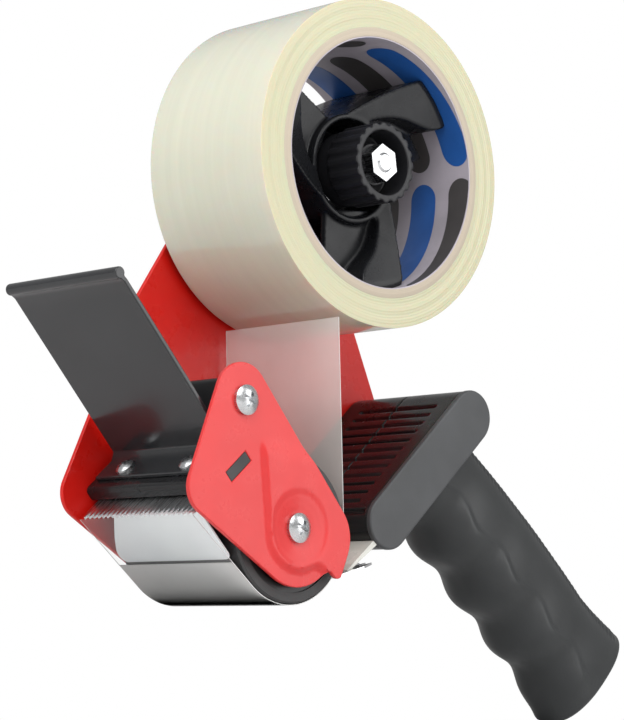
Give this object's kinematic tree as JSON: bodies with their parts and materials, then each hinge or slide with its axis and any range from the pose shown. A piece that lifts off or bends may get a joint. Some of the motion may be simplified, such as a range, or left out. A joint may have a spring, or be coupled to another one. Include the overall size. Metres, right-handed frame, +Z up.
{
  "type": "tape gun dispenser",
  "caption": "Hand-held packing tape dispenser: pistol grip, braked hub with tape roll, rubber roller, toothed cutter and springy wiper flap between painted side plates.",
  "frame": {"origin": "centre of the bounding box's base, on the surface the tool stands on", "axes": "+Z up, +X forwards along the tool from the grip to the cutter, +Y across the tool to the side the tape roll is loaded from"},
  "size_m": [0.2561, 0.0616, 0.1898],
  "materials": {
    "red_light": "gloss",
    "red_deep": "gloss",
    "black_moulding": "satin",
    "zinc": "bright zinc",
    "blade_steel": "bright",
    "clear_film": "frosted",
    "pale_leaf": "satin",
    "rubber_grey": "matte",
    "black_plastic": "satin",
    "cap_grey": "satin",
    "grip_rubber": "satin",
    "hub_black": "gloss",
    "spring_steel": "bright",
    "liner_paper": "printed paper",
    "cardboard": "board",
    "tape_clear": "clear film wound up",
    "tape_film": "clear film"
  },
  "bodies": {
    "frame": {"near_side_plate": "red_light", "far_side_plate": "red_deep", "front_block": "black_moulding", "block_screws": "zinc", "flap_foot": "black_moulding", "flap_screws": "zinc", "cutter_blade": "blade_steel", "blade_clamp": "black_moulding", "blade_screws": "zinc", "tape_keeper": "clear_film", "roller_axle": "zinc", "axle_screws": "zinc", "thrust_washers": "zinc", "head_shell_far": "black_plastic", "head_shell_near": "black_plastic", "head_end_cap": "cap_grey", "head_screws": "zinc", "grip_sleeve": "grip_rubber", "grip_stem": "black_plastic", "grip_bolt": "zinc", "hub_axle": "zinc", "friction_disc": "black_plastic", "tape_web": "tape_film", "rear_comb": "blade_steel", "comb_leaf": "pale_leaf", "brake_spring": "spring_steel"},
    "flap": {"wiper_flap": "black_moulding"},
    "roller": {"roller_sleeve": "rubber_grey", "roller_core": "black_plastic", "roller_bushes": "black_plastic"},
    "reel": {"hub_bush": "black_plastic", "hub_body": "hub_black", "spring_seat": "zinc", "core_liner": "liner_paper", "tape_core": "cardboard", "tape_wound": "tape_clear"},
    "washer": {"pressure_washer": "zinc"},
    "knob": {"tension_knob": "hub_black", "knob_nut": "zinc"}
  },
  "joints": [
    {"name": "hub_spin", "type": "hinge", "parent": "frame", "child": "reel", "pos_m": [0.03821, 0, 0.1396], "axis": [0, 1, 0], "continuous": true},
    {"name": "roller_spin", "type": "hinge", "parent": "frame", "child": "roller", "pos_m": [0.04816, 0, 0.02201], "axis": [0, 1, 0], "continuous": true},
    {"name": "flap_flex", "type": "hinge", "parent": "frame", "child": "flap", "pos_m": [0.07667, 0, 0.03733], "axis": [0, 1, 0], "range_deg": [-12, 10], "stiffness_Nm_per_rad": 0.3},
    {"name": "washer_slide", "type": "slide", "parent": "frame", "child": "washer", "axis": [0, 1, 0], "range_m": [-0.001, 0.001], "deforming": ["brake_spring"]},
    {"name": "knob_turn", "type": "hinge", "parent": "washer", "child": "knob", "pos_m": [0.03821, 0, 0.1396], "axis": [0, 1, 0], "range_deg": [-360, 360]}
  ],
  "couplings": [
    {"joint": "knob_turn", "follows": "washer_slide", "rad_per_m": 6280}
  ]
}
